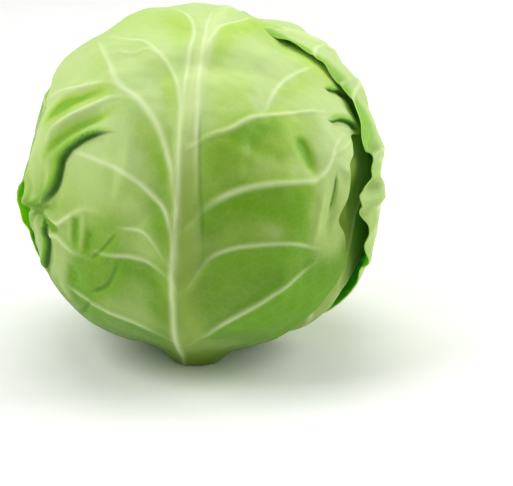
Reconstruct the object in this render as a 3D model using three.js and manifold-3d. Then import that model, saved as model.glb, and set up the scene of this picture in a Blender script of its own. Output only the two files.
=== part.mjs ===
// A round green cabbage as cut from the plant: a dense head on its stem, wrapped in six loose leaves.
//
// Frame: millimetres, +Z up. The origin is the centre of the flat cut across the stem, on which the head
// stands. The broad front leaf faces -Y. Azimuths are degrees round +Z from -Y, positive towards +X.
//
// Every leaf lies on the head like a layer of an onion. A direction from the head's centre has two angles
// on a leaf: "along" is measured up its midrib (-90 below, 0 at the waist, 90 at the crown) and "across" is
// measured sideways from the midrib. The radius in that direction is the radius of the heart, plus each
// layer that lies underneath, plus the leaf's own ribs, waves and turned-out margin.
import * as THREE from "three";
import Module from "manifold-3d";
import { mergeVertices } from "three/addons/utils/BufferGeometryUtils.js";

// Driving dimensions of the head
const CENTRE_HEIGHT = 82; // the waist above the cut
const HEART_HALF_WIDTH = 79;
const HEART_ABOVE = 65; // from the waist to the crown of the heart
const HEART_BELOW = 66; // from the waist to the foot of the heart
const CROWN_SQUARENESS = 2.2; // 2 is an ellipse, more is a broader shoulder
const FOOT_SQUARENESS = 3;
const SHOULDER = { azimuth: -129, elevation: 66, height: 4.5, spread: 26 }; // a head swells more on one side

const HEART_LEAVES = 5; // leaves whose margins show on the heart
const HEART_SUNK = 2.6; // the heart keeps this far inside the leaves round it
const HEART_SEGMENTS = { around: 28, down: 14 };
const GOLDEN_ANGLE = 137.5; // each leaf of the heart grows this many degrees round from the last

// The stem, which runs up into the heart as its core
const STEM_RADIUS = 17;
const CORE_HEIGHT = 74;
const CORE_TIP_RADIUS = 7;
const STEM_SIDES = 32;

// The leaves
const BLADE = 1.0; // thickness of a blade
const VEIN = 0.75; // how far a side vein stands proud
const LAYER_GAP = 0.9; // air between a blade and what lies under it
const RIB_ROOM = 1.7; // room left over a midrib, as a multiple of its width
const CLEARANCE = 0.35; // between a leaf and the stem
const LEAF_BASE = -75.5; // where a midrib leaves the stem, degrees along
const STALK_WIDTH = 12; // degrees from the midrib to the side of the stalk
const SLOW_WAVE = { depth: 2.2, pace: 0.105 }; // of a margin: depth in degrees, pace in radians a degree
const QUICK_WAVE = { depth: 1.2, pace: 0.23 };
const RIB_WIDTHS = [10.5, 3.2]; // half the width of a midrib at the stalk and near the tip, in degrees
const BLADE_WAVE = 0.9; // mm either way
const RUFFLE = 0.32; // share by which a turned-out margin swings in and out
const FOOT_DROP = 4; // the outer stalks leave the stem this much lower, and then lie up against the head
const DRAPE_FULL = 5; // a layer above stays lifted this many degrees past a margin
const DRAPE_END = 19; // and has come down again here

// The grid of a leaf: its rows follow the side veins, three rows to a vein
const SIDE_COLUMNS = 9; // columns from the midrib to one margin, the first two on the midrib
const RIB_COLUMNS = 2;
const STALK_ROWS = 5; // rows between the stem and the first side vein
const VEIN_HALF_WIDTH = 1.5; // degrees along
const BETWEEN_VEINS = [0.36, 0.68]; // rows between two veins, as shares of the way
const TO_THE_TIP = [0.3, 0.56, 0.77, 0.92, 0.985]; // rows past the last vein

// Innermost leaf first. Angles are in degrees. Left and right are as seen from outside with the crown up.
//   azimuth, lean     where the midrib faces, and how far its tip leans to the right
//   tip               where the leaf ends along its midrib
//   taper             the last stretch, over which its outline closes
//   bluntness         how it closes to the left and to the right: 1 a straight wedge, 2 an ellipse
//   width             from the midrib to the left and to the right margin
//   sweep             how far the left and the right side veins climb on their way out
//   rib               height of the midrib where it leaves the stem, in mm
//   drop              share of the foot drop that its stalk takes
//   veins             where the side veins leave the midrib
//   phase             sets where the waves of its blade and margins fall
//   flares            where a margin turns out: side, middle and spread along it, height in mm, and roll,
//                     which is 1 where the blade swells and its margin rolls back in
const LEAVES = [
  {
    name: "inner_leaf_back",
    azimuth: 172,
    lean: 6,
    tip: 104,
    taper: 62,
    bluntness: [2.3, 2.3],
    width: [60, 58],
    sweep: [34, 30],
    rib: 6.5,
    drop: 0.2,
    veins: [-52, -26, 0, 27, 56],
    phase: 1.1,
    flares: [],
  },
  {
    name: "inner_leaf_right",
    azimuth: 56,
    lean: -5,
    tip: 108,
    taper: 62,
    bluntness: [2.3, 2.3],
    width: [56, 60],
    sweep: [32, 34],
    rib: 6.5,
    drop: 0.3,
    veins: [-50, -24, 2, 29, 58],
    phase: 2.9,
    flares: [],
  },
  {
    name: "inner_leaf_left",
    azimuth: -72,
    lean: 4,
    tip: 100,
    taper: 62,
    bluntness: [2.3, 2.3],
    width: [58, 56],
    sweep: [30, 34],
    rib: 6.5,
    drop: 0.4,
    veins: [-54, -28, -2, 25, 54],
    phase: 4.4,
    flares: [],
  },
  {
    name: "wrapper_leaf_back_left",
    azimuth: -140,
    lean: 5,
    tip: 98,
    taper: 62,
    bluntness: [2.3, 2.3],
    width: [61, 57],
    sweep: [36, 32],
    rib: 9,
    drop: 0.85,
    veins: [-52, -27, -2, 24, 52],
    phase: 0.4,
    flares: [
      { side: 1, middle: 4, spread: 13, height: 6, roll: 0 },
      { side: -1, middle: -18, spread: 20, height: 4, roll: 0 },
    ],
  },
  {
    name: "wrapper_leaf_front",
    azimuth: -8,
    lean: 5,
    tip: 119,
    taper: 62,
    bluntness: [2.3, 2.3],
    width: [64, 60],
    sweep: [46, 24],
    rib: 9.5,
    drop: 1,
    veins: [-48, -20, 8, 35, 64],
    phase: 5.3,
    flares: [{ side: 1, middle: 12, spread: 26, height: 2.6, roll: 0 }],
  },
  {
    name: "wrapper_leaf_right",
    azimuth: 118,
    lean: -8,
    tip: 84,
    taper: 70,
    bluntness: [0.8, 1.2],
    width: [57, 60],
    sweep: [30, 36],
    rib: 9,
    drop: 1,
    veins: [-53, -30, -6, 18, 43],
    phase: 3.6,
    flares: [
      { side: -1, middle: 6, spread: 26, height: 4.5, roll: 1 },
      { side: -1, middle: -22, spread: 18, height: 4, roll: 0 },
      { side: 1, middle: 4, spread: 24, height: 3.5, roll: 0 },
    ],
  },
];

const COLOURS = {
  heart: 0xcfe0a0,
  stem: 0xe4e3c2,
  wrapper: 0x93bf4e,
  inner: 0xa9cf69,
};

const RAD = Math.PI / 180;
const clamp = (x, low, high) => Math.min(high, Math.max(low, x));
const mix = (a, b, t) => a + (b - a) * t;

// 0 below a, 1 above b, and a smooth rise between them
function rise(x, a, b) {
  const t = clamp((x - a) / (b - a), 0, 1);
  return t * t * (3 - 2 * t);
}

// A bell of height 1 round zero
const bell = (x) => Math.exp(-x * x);

// A unit direction from an azimuth and an elevation
function towards(azimuth, elevation) {
  const level = Math.cos(elevation * RAD);
  const turn = azimuth * RAD;
  return new THREE.Vector3(level * Math.sin(turn), -level * Math.cos(turn), Math.sin(elevation * RAD));
}

// Radius of the heart in a unit direction from the head's centre
function heartRadius(d) {
  const level = Math.hypot(d.x, d.y) / HEART_HALF_WIDTH;
  const upright = Math.abs(d.z) / (d.z > 0 ? HEART_ABOVE : HEART_BELOW);
  const power = d.z > 0 ? CROWN_SQUARENESS : FOOT_SQUARENESS;
  const apart = d.angleTo(towards(SHOULDER.azimuth, SHOULDER.elevation)) / RAD;
  const even = Math.pow(Math.pow(level, power) + Math.pow(upright, power), -1 / power);
  return even + SHOULDER.height * bell(apart / SHOULDER.spread);
}

// How far the midrib has leant sideways at a place along it, in degrees
const leanAt = (leaf, along) => leaf.lean * rise(along, -70, leaf.tip);

// A unit direction from a leaf's two angles
function direction(leaf, along, across) {
  const turn = leaf.azimuth * RAD;
  const side = (across + leanAt(leaf, along)) * RAD;
  const out = Math.cos(side) * Math.cos(along * RAD);
  return new THREE.Vector3(
    out * Math.sin(turn) + Math.sin(side) * Math.cos(turn),
    -out * Math.cos(turn) + Math.sin(side) * Math.sin(turn),
    Math.cos(side) * Math.sin(along * RAD),
  );
}

// And a leaf's two angles from a unit direction. Along runs from -100 to 260, so it runs on over the crown.
function anglesOn(leaf, d) {
  const turn = leaf.azimuth * RAD;
  const out = d.x * Math.sin(turn) - d.y * Math.cos(turn);
  const side = d.x * Math.cos(turn) + d.y * Math.sin(turn);
  let along = Math.atan2(d.z, out) / RAD;
  if (along < -100) along += 360;
  return { along, across: Math.asin(clamp(side, -1, 1)) / RAD - leanAt(leaf, along) };
}

// Angle from the midrib to a margin, without the round of the tip: narrow at the stalk, wavy on the blade
function fullWidth(leaf, along, side) {
  const full = leaf.width[side < 0 ? 0 : 1];
  const slow = SLOW_WAVE.depth * Math.sin(SLOW_WAVE.pace * along + leaf.phase + side);
  const quick = QUICK_WAVE.depth * Math.sin(QUICK_WAVE.pace * along + 2 * leaf.phase);
  return mix(STALK_WIDTH, full + (slow + quick) * rise(along, -50, -20), rise(along, LEAF_BASE - 2, -22));
}

// How far a place lies out on a leaf: 0 on the midrib, 1 on the margin and more off the leaf
function shareOf(leaf, along, across) {
  const blunt = leaf.bluntness[across < 0 ? 0 : 1];
  const sideways = Math.abs(across) / fullWidth(leaf, along, Math.sign(across));
  const ahead = Math.max(0, along - leaf.tip + leaf.taper) / leaf.taper;
  return Math.pow(Math.pow(sideways, blunt) + Math.pow(ahead, blunt), 1 / blunt);
}

// Angle from the midrib to the margin, with the round of the tip
function marginAt(leaf, along, side) {
  const blunt = leaf.bluntness[side < 0 ? 0 : 1];
  const ahead = clamp((along - leaf.tip + leaf.taper) / leaf.taper, 0, 1);
  return fullWidth(leaf, along, side) * Math.pow(1 - Math.pow(ahead, blunt), 1 / blunt);
}

// Half the width of the midrib in degrees, and its height in mm
const ribWidth = (along) => mix(RIB_WIDTHS[0], RIB_WIDTHS[1], rise(along, -80, 60));
function ribHeight(leaf, along) {
  return leaf.rib * mix(1, 0.3, rise(along, -78, -18)) * mix(1, 0.35, rise(along, -10, 85));
}

// The slow waves of the blade, which the layers above follow
function wave(leaf, along, across) {
  const broad = Math.sin(0.062 * along + leaf.phase) * Math.sin(0.071 * across + 1.7 * leaf.phase);
  return BLADE_WAVE * (1 + broad) * rise(Math.abs(across), 4, 26) * rise(along, -60, -30);
}

// How far the margin turns out from the head
function flare(leaf, along, across) {
  const share = shareOf(leaf, along, across);
  const ruffle = 1 + RUFFLE * Math.sin(0.33 * along + leaf.phase) * rise(share, 0.8, 1);
  const open = 1.25 * Math.pow(rise(share, 0.62, 1.12), 1.4);
  const rolled = rise(share, 0.5, 0.84) * (1 - 0.9 * rise(share, 0.86, 1.02));
  let out = 0;
  for (const { side, middle, spread, height, roll } of leaf.flares) {
    const turn = mix(open, rolled, roll);
    if (across * side > 0) out += height * ruffle * turn * bell((along - middle) / spread);
  }
  return out;
}

// 1 on a leaf and close round it, falling to 0 where the layer above has come down past its margin
function cover(leaf, along, across) {
  const share = Math.max(shareOf(leaf, along, across), 0.01);
  const reach = Math.hypot(Math.max(0, along - leaf.tip + leaf.taper), across);
  const off = reach * (1 - 1 / share);
  const under = LEAF_BASE - along;
  return 1 - rise(Math.max(off, under), DRAPE_FULL, DRAPE_END);
}

// Radius of the inner face of leaf number n: the heart and every layer that lies under the leaf
function innerRadius(n, d) {
  let r = heartRadius(d) + LAYER_GAP;
  for (const leaf of LEAVES.slice(0, n)) {
    const { along, across } = anglesOn(leaf, d);
    const rib = ribHeight(leaf, along) * bell(across / (RIB_ROOM * ribWidth(along)));
    const layer = BLADE + VEIN + LAYER_GAP + rib + wave(leaf, along, across) + flare(leaf, along, across);
    r += cover(leaf, along, across) * layer;
  }
  const { along } = anglesOn(LEAVES[n], d);
  return r + LEAVES[n].drop * FOOT_DROP * (1 - rise(along, LEAF_BASE, -44));
}

// Radii of a leaf's two faces. Crest is 1 on a side vein and 0 beside it.
function faceRadii(n, along, across, crest, share) {
  const leaf = LEAVES[n];
  const d = direction(leaf, along, across);
  const inner = innerRadius(n, d) + wave(leaf, along, across) + flare(leaf, along, across);
  const rib = ribHeight(leaf, along) * bell(1.15 * across / ribWidth(along));
  const vein = VEIN * crest * mix(1, 0.45, share);
  return { d, inner, outer: inner + BLADE + rib + vein };
}

// The rows of a leaf: where each one leaves the midrib, and whether it is a vein's crest
function rowsOf(leaf) {
  const rows = [];
  for (let k = 0; k < STALK_ROWS; k += 1) {
    rows.push({ at: mix(LEAF_BASE, leaf.veins[0] - VEIN_HALF_WIDTH, k / STALK_ROWS), crest: 0 });
  }
  leaf.veins.forEach((at, k) => {
    const last = k === leaf.veins.length - 1;
    const next = last ? at + 22 : leaf.veins[k + 1];
    rows.push({ at: at - VEIN_HALF_WIDTH, crest: 0 });
    rows.push({ at, crest: 1 });
    rows.push({ at: at + VEIN_HALF_WIDTH, crest: 0 });
    for (const share of BETWEEN_VEINS) rows.push({ at: mix(at, next, share), crest: 0 });
  });
  const from = rows[rows.length - 1].at;
  for (const share of TO_THE_TIP) rows.push({ at: mix(from, leaf.tip, share), crest: 0 });
  return rows;
}

// The climb of a row from the midrib to the margin. It dies away at the stalk and at the tip.
function climb(leaf, at, side) {
  const full = leaf.sweep[side < 0 ? 0 : 1];
  return full * rise(at, LEAF_BASE, -14) * (1 - rise(at, 5, leaf.tip));
}

// The place of a grid point: share runs from 0 on the midrib to 1 on the margin
function placeOf(leaf, row, column) {
  const side = Math.sign(column);
  const share = Math.abs(column) / SIDE_COLUMNS;
  const along = row.at + climb(leaf, row.at, side) * Math.pow(share, 0.62);
  const margin = marginAt(leaf, along, side || 1);
  const foot = Math.min(ribWidth(along), 0.36 * margin);
  const onRib = Math.abs(column) <= RIB_COLUMNS;
  const across = onRib
    ? (foot * Math.abs(column)) / RIB_COLUMNS
    : mix(foot, margin, (Math.abs(column) - RIB_COLUMNS) / (SIDE_COLUMNS - RIB_COLUMNS));
  return { along, across: side * across, share };
}

// A point at a radius in a direction, in the part's own frame, cut off flat at the height of the stem's cut
function pointAt(d, radius) {
  return new THREE.Vector3(d.x * radius, d.y * radius, Math.max(0, CENTRE_HEIGHT + d.z * radius));
}

// A stalk's end follows the round of the stem
function pointOnStem(d, radius) {
  const reach = STEM_RADIUS + CLEARANCE;
  const level = Math.hypot(d.x, d.y);
  const height = CENTRE_HEIGHT - Math.sqrt(radius * radius - reach * reach);
  return new THREE.Vector3((d.x / level) * reach, (d.y / level) * reach, Math.max(0, height));
}

// A closed leaf: an outer and an inner grid split alike, joined round the rim
function leafGeometry(n) {
  const leaf = LEAVES[n];
  const rows = rowsOf(leaf);
  const columns = 2 * SIDE_COLUMNS + 1;
  const points = [[], []];
  rows.forEach((row, i) => {
    for (let c = -SIDE_COLUMNS; c <= SIDE_COLUMNS; c += 1) {
      const { along, across, share } = placeOf(leaf, row, c);
      const crest = Math.abs(c) >= RIB_COLUMNS ? row.crest : 0;
      const { d, inner, outer } = faceRadii(n, along, across, crest, share);
      const put = i === 0 ? pointOnStem : pointAt;
      points[0].push(put(d, outer));
      points[1].push(put(d, inner));
    }
  });
  const all = points.flat();
  const half = points[0].length;
  const faces = [];
  const at = (i, c) => i * columns + c;
  for (let i = 0; i < rows.length - 1; i += 1) {
    for (let c = 0; c < columns - 1; c += 1) {
      const [a, b, e, f] = [at(i, c), at(i, c + 1), at(i + 1, c), at(i + 1, c + 1)];
      const split = c < SIDE_COLUMNS ? [[a, b, f], [a, f, e]] : [[a, b, e], [b, f, e]];
      for (const [p, q, r] of split) faces.push([p, q, r], [half + p, half + r, half + q]);
    }
  }
  const rim = [];
  for (let c = 0; c < columns - 1; c += 1) rim.push(at(0, c));
  for (let i = 0; i < rows.length - 1; i += 1) rim.push(at(i, columns - 1));
  for (let c = columns - 1; c > 0; c -= 1) rim.push(at(rows.length - 1, c));
  for (let i = rows.length - 1; i > 0; i -= 1) rim.push(at(i, 0));
  rim.forEach((p, k) => {
    const q = rim[(k + 1) % rim.length];
    faces.push([p, half + p, q], [q, half + p, half + q]);
  });
  const geometry = new THREE.BufferGeometry().setFromPoints(all);
  geometry.setIndex(faces.flat());
  geometry.computeVertexNormals();
  return geometry;
}

// The stem, turned: the flat cut, the round stump and the core that narrows up into the heart
function stemProfile(extra) {
  const foot = extra > 0 ? -1 : 0;
  return [
    new THREE.Vector2(0, foot),
    new THREE.Vector2(STEM_RADIUS + extra, foot),
    new THREE.Vector2(STEM_RADIUS + extra, 18),
    new THREE.Vector2(STEM_RADIUS * 0.92 + extra, 36),
    new THREE.Vector2(STEM_RADIUS * 0.72 + extra, 56),
    new THREE.Vector2(CORE_TIP_RADIUS + extra, CORE_HEIGHT - 5 + extra),
    new THREE.Vector2(CORE_TIP_RADIUS * 0.5, CORE_HEIGHT + extra),
    new THREE.Vector2(0, CORE_HEIGHT + extra),
  ];
}

function stemGeometry(extra = 0) {
  const geometry = new THREE.LatheGeometry(stemProfile(extra), STEM_SIDES);
  geometry.rotateX(Math.PI / 2);
  return geometry;
}

// The heart's own leaves lie over one another: each has a margin that stands a little proud
function heartRelief(d) {
  let lift = 0;
  for (let k = 0; k < HEART_LEAVES; k += 1) {
    const turn = (35 + GOLDEN_ANGLE * k) * RAD;
    const edge = d.x * Math.cos(turn) + d.y * Math.sin(turn) + 0.35 * d.z * Math.sin(2.1 * k);
    lift = Math.max(lift, (0.4 + 0.25 * k) * rise(edge, 0.18, 0.26));
  }
  return lift - HEART_SUNK;
}

function heartGeometry() {
  const geometry = new THREE.SphereGeometry(1, HEART_SEGMENTS.around, HEART_SEGMENTS.down);
  geometry.rotateX(Math.PI / 2);
  const position = geometry.getAttribute("position");
  const d = new THREE.Vector3();
  for (let k = 0; k < position.count; k += 1) {
    d.fromBufferAttribute(position, k).normalize();
    const p = d.clone().multiplyScalar(heartRadius(d) + heartRelief(d));
    position.setXYZ(k, p.x, p.y, p.z + CENTRE_HEIGHT);
  }
  return geometry;
}

// The mesh of a geometry as a solid that can be cut
function solidOf(wasm, geometry) {
  const bare = new THREE.BufferGeometry();
  bare.setAttribute("position", geometry.getAttribute("position"));
  bare.setIndex(geometry.getIndex());
  const merged = mergeVertices(bare, 1e-3);
  return new wasm.Manifold(
    new wasm.Mesh({
      numProp: 3,
      vertProperties: new Float32Array(merged.getAttribute("position").array),
      triVerts: new Uint32Array(merged.getIndex().array),
    }),
  );
}

function geometryOf(solid) {
  const { vertProperties, triVerts } = solid.getMesh();
  const geometry = new THREE.BufferGeometry();
  geometry.setAttribute("position", new THREE.BufferAttribute(vertProperties, 3));
  geometry.setIndex(new THREE.BufferAttribute(triVerts, 1));
  geometry.computeVertexNormals();
  return geometry;
}

function leafMesh(n) {
  const inner = LEAVES[n].name.startsWith("inner");
  const material = new THREE.MeshStandardMaterial({
    color: inner ? COLOURS.inner : COLOURS.wrapper,
    roughness: 0.5,
    metalness: 0,
    side: THREE.DoubleSide,
  });
  const mesh = new THREE.Mesh(leafGeometry(n), material);
  mesh.name = LEAVES[n].name;
  return mesh;
}

const wasm = await Module();
wasm.setup();

const cabbage = new THREE.Group();
cabbage.name = "green_cabbage";

// The heart has the room for the core cut out of it
const coreRoom = solidOf(wasm, stemGeometry(CLEARANCE));
const heart = new THREE.Mesh(
  geometryOf(solidOf(wasm, heartGeometry()).subtract(coreRoom)),
  new THREE.MeshStandardMaterial({ color: COLOURS.heart, roughness: 0.5, metalness: 0 }),
);
heart.name = "heart";
cabbage.add(heart);

const stem = new THREE.Mesh(
  geometryOf(solidOf(wasm, stemGeometry())),
  new THREE.MeshStandardMaterial({ color: COLOURS.stem, roughness: 0.65, metalness: 0 }),
);
stem.name = "stem";
cabbage.add(stem);

LEAVES.forEach((leaf, n) => cabbage.add(leafMesh(n)));

export default cabbage;
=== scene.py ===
# %% [markdown]
# # A green cabbage
# The head is dressed leaf by leaf. The solids from CAD come first, as a fixed frame in metres: a heart, a
# stem and six loose leaves. Each is then replaced by a finer piece of the same form.

# %% Load the frame
import math
from types import SimpleNamespace

import bpy
import numpy as np
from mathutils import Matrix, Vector


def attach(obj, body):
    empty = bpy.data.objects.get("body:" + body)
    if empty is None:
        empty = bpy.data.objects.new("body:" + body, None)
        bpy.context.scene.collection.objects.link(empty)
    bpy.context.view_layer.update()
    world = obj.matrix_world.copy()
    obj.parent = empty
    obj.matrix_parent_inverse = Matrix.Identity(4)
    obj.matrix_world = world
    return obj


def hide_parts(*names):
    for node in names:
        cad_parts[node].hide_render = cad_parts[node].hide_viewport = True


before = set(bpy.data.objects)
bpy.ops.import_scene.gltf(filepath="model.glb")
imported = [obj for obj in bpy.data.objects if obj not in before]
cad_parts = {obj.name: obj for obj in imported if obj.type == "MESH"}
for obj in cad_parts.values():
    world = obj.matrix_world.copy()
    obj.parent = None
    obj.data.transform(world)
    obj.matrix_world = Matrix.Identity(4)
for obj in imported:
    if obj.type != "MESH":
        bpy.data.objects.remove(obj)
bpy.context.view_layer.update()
MM = 0.001

# %% [markdown]
# ## Camera
# The picture is 513 x 486 pixels and looks down on the head at 20 degrees. A long lens keeps the head round.
# The head sits up and to the left of the middle of the picture, so the camera is moved sideways and down in
# its own plane, which does the same as lens shift and leaves the viewing direction alone.

# %% Camera
PICTURE_WIDTH = 513
PICTURE_CENTRE = (256.5, 243)
HEAD_CENTRE_PIXEL = (204, 180)
PIXEL = 0.4857 * MM  # size of a pixel at the head
HEAD_CENTRE = Vector((0, 0, 82 * MM))
CAMERA_DISTANCE = 1.4
CAMERA_ELEVATION = math.radians(20)

back = Vector((0, -math.cos(CAMERA_ELEVATION), math.sin(CAMERA_ELEVATION)))
up = Vector((0, math.sin(CAMERA_ELEVATION), math.cos(CAMERA_ELEVATION)))
aside = (PICTURE_CENTRE[0] - HEAD_CENTRE_PIXEL[0]) * PIXEL
down = (PICTURE_CENTRE[1] - HEAD_CENTRE_PIXEL[1]) * PIXEL
bpy.ops.object.select_all(action="DESELECT")
bpy.ops.object.camera_add(location=HEAD_CENTRE + back * CAMERA_DISTANCE + Vector((aside, 0, 0)) - up * down)
camera = bpy.context.object
camera.name = "camera"
camera.rotation_euler = (math.pi / 2 - CAMERA_ELEVATION, 0, 0)
camera.data.sensor_width = 36
camera.data.lens = 36 * CAMERA_DISTANCE / (PICTURE_WIDTH * PIXEL)
camera.data.clip_end = 20
bpy.context.scene.camera = camera
print("lens", round(camera.data.lens, 1), "mm at", CAMERA_DISTANCE, "m")

# %% [markdown]
# ## Light and floor
# A cabbage leaf has a soft waxy sheen, which needs large lights. Two wide panels stand at the sides and a
# third overhead, so that the sides of the head are bright and the middle, which faces the camera, is a
# little darker. A pale world fills the shadows. The floor is a plain pale sheet.

# %% Light and floor
def panel(name, place, size, power, colour=(1, 1, 1)):
    """A rectangular soft light that faces the head."""
    bpy.ops.object.light_add(type="AREA", location=place)
    light = bpy.context.object
    light.name = name
    light.data.size = size
    light.data.energy = power
    light.data.color = colour
    light.rotation_euler = (HEAD_CENTRE - Vector(place)).to_track_quat("-Z", "Y").to_euler()
    return light


panel("light_left", (-0.8, -0.25, 0.85), 0.7, 8.5)
panel("light_right", (0.9, 0.15, 0.55), 0.7, 8.5)
panel("light_top", (-0.05, 0.3, 1.0), 0.8, 5.5)
world = bpy.data.worlds.new("studio")
world.use_nodes = True
world.node_tree.nodes["Background"].inputs["Color"].default_value = (1, 1, 1, 1)
world.node_tree.nodes["Background"].inputs["Strength"].default_value = 0.27
bpy.context.scene.world = world
bpy.context.scene.view_settings.view_transform = "Standard"

bpy.ops.mesh.primitive_plane_add(size=8, location=(0, 0, 0))
floor = bpy.context.object
floor.name = "floor"

# %% [markdown]
# ## Shader maths as Python
# A material is a graph of nodes. Writing it as expressions keeps it short: a small class wraps a socket, and
# adding or multiplying two of them makes the Math node that does it.

# %% Shader helper
def linear(red, green, blue):
    """A colour read off a screen, 0 to 255, as the linear values that a shader wants."""
    return tuple(((c / 255 + 0.055) / 1.055) ** 2.4 if c > 10 else c / 3294.6 for c in (red, green, blue)) + (1,)


class Value:
    """A socket that can be used in sums."""

    def __init__(self, shader, socket):
        self.shader = shader
        self.socket = socket

    def __add__(self, other):
        return self.shader.maths("ADD", self, other)

    def __sub__(self, other):
        return self.shader.maths("SUBTRACT", self, other)

    def __mul__(self, other):
        return self.shader.maths("MULTIPLY", self, other)

    def __rsub__(self, other):
        return self.shader.maths("SUBTRACT", other, self)

    def __pow__(self, other):
        return self.shader.maths("POWER", self, other)

    __radd__ = __add__
    __rmul__ = __mul__


class Shader:
    """A new material, with the methods that add nodes to it."""

    def __init__(self, name):
        self.material = bpy.data.materials.new(name)
        self.material.use_nodes = True
        self.tree = self.material.node_tree
        self.surface = self.tree.nodes["Principled BSDF"]

    def node(self, kind, settings=None, **inputs):
        """Any node: its settings first, then the values or links of its sockets."""
        node = self.tree.nodes.new(kind)
        for key, value in (settings or {}).items():
            setattr(node, key, value)
        for key, value in inputs.items():
            self.put(node.inputs[int(key[1:]) if key[1:].isdigit() else key.replace("_", " ")], value)
        return node

    def put(self, socket, value):
        if isinstance(value, Value):
            self.tree.links.new(value.socket, socket)
        else:
            socket.default_value = value

    def maths(self, operation, a, b):
        return Value(self, self.node("ShaderNodeMath", {"operation": operation}, i0=a, i1=b).outputs[0])

    def attribute(self, name):
        return Value(self, self.node("ShaderNodeAttribute", {"attribute_name": name}).outputs["Fac"])

    def mix(self, share, a, b):
        node = self.node("ShaderNodeMix", {"data_type": "RGBA"}, i0=share, i6=a, i7=b)
        return Value(self, node.outputs[2])

    def span(self, value, low, high):
        """0 below low, 1 above high, and a smooth rise between."""
        node = self.node("ShaderNodeMapRange", {"interpolation_type": "SMOOTHSTEP"}, Value=value)
        node.inputs["From Min"].default_value = low
        node.inputs["From Max"].default_value = high
        return Value(self, node.outputs[0])

    def coordinates(self, kind="Object"):
        return Value(self, self.node("ShaderNodeTexCoord").outputs[kind])

    def noise(self, where, scale, detail=3.0, roughness=0.5):
        node = self.node(
            "ShaderNodeTexNoise", Vector=where, Scale=scale, Detail=detail, Roughness=roughness
        )
        return Value(self, node.outputs["Fac"])

    def finish(self, **sockets):
        for key, value in sockets.items():
            self.put(self.surface.inputs[key.replace("_", " ")], value)
        return self.material


print("shader helper ready")

# %% Floor finish
paper = Shader("pale_floor")
grain = paper.noise(paper.coordinates(), 40.0)
paper_colour = paper.mix(grain, linear(243, 243, 241), linear(250, 250, 248))
floor.data.materials.append(paper.finish(Base_Color=paper_colour, Roughness=0.9))

# %% [markdown]
# ## The head as layers
# The leaves lie on the head like the layers of an onion. A direction from the head's centre has two angles
# on each leaf: along runs up its midrib, and across runs sideways from it. How far out the leaf lies in that
# direction is a sum: the heart, every layer beneath, and the leaf's own waves, ribs and turned-out margin.
# These are the solids' own formulas, so each fine leaf lands on the plain one that it replaces.

# %% Sizes of the head
CENTRE_HEIGHT = 82.0
HEART_HALF_WIDTH = 79.0
HEART_ABOVE = 65.0
HEART_BELOW = 66.0
CROWN_SQUARENESS = 2.2
FOOT_SQUARENESS = 3.0
SHOULDER = SimpleNamespace(azimuth=-129, elevation=66, height=4.5, spread=26)
HEART_LEAVES = 5
HEART_SUNK = 2.6
GOLDEN_ANGLE = 137.5
STEM_RADIUS = 17.0
CORE_HEIGHT = 74.0
BLADE = 1.0
VEIN = 0.75
LAYER_GAP = 0.9
RIB_ROOM = 1.7
CLEARANCE = 0.35
LEAF_BASE = -75.5
STALK_WIDTH = 12.0
FOOT_DROP = 4.0
DRAPE_FULL = 5.0
DRAPE_END = 19.0


def rise(x, a, b):
    """0 below a, 1 above b, and a smooth rise between them."""
    t = np.clip((x - a) / (b - a), 0, 1)
    return t * t * (3 - 2 * t)


def bell(x):
    return np.exp(-x * x)


def mix(a, b, t):
    return a + (b - a) * t


def towards(azimuth, elevation):
    """The unit direction of an azimuth and an elevation."""
    a, e = np.radians(azimuth), np.radians(elevation)
    return np.stack([np.cos(e) * np.sin(a), -np.cos(e) * np.cos(a), np.sin(e)], -1)


def heart_radius(d):
    """Radius of the heart in unit directions d."""
    level = np.hypot(d[:, 0], d[:, 1]) / HEART_HALF_WIDTH
    upright = np.abs(d[:, 2]) / np.where(d[:, 2] > 0, HEART_ABOVE, HEART_BELOW)
    power = np.where(d[:, 2] > 0, CROWN_SQUARENESS, FOOT_SQUARENESS)
    apart = np.degrees(np.arccos(np.clip(d @ towards(SHOULDER.azimuth, SHOULDER.elevation), -1, 1)))
    return (level**power + upright**power) ** (-1 / power) + SHOULDER.height * bell(apart / SHOULDER.spread)


print("heart at the waist", heart_radius(towards(np.array([0.0]), np.array([0.0]))).round(1), "mm")

# %% [markdown]
# ## A leaf's own form
# One class holds what is the same for all leaves: the outline, the midrib, the slow waves of the blade and
# the margin that turns out. The six leaves differ only in their numbers, innermost first.

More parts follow.
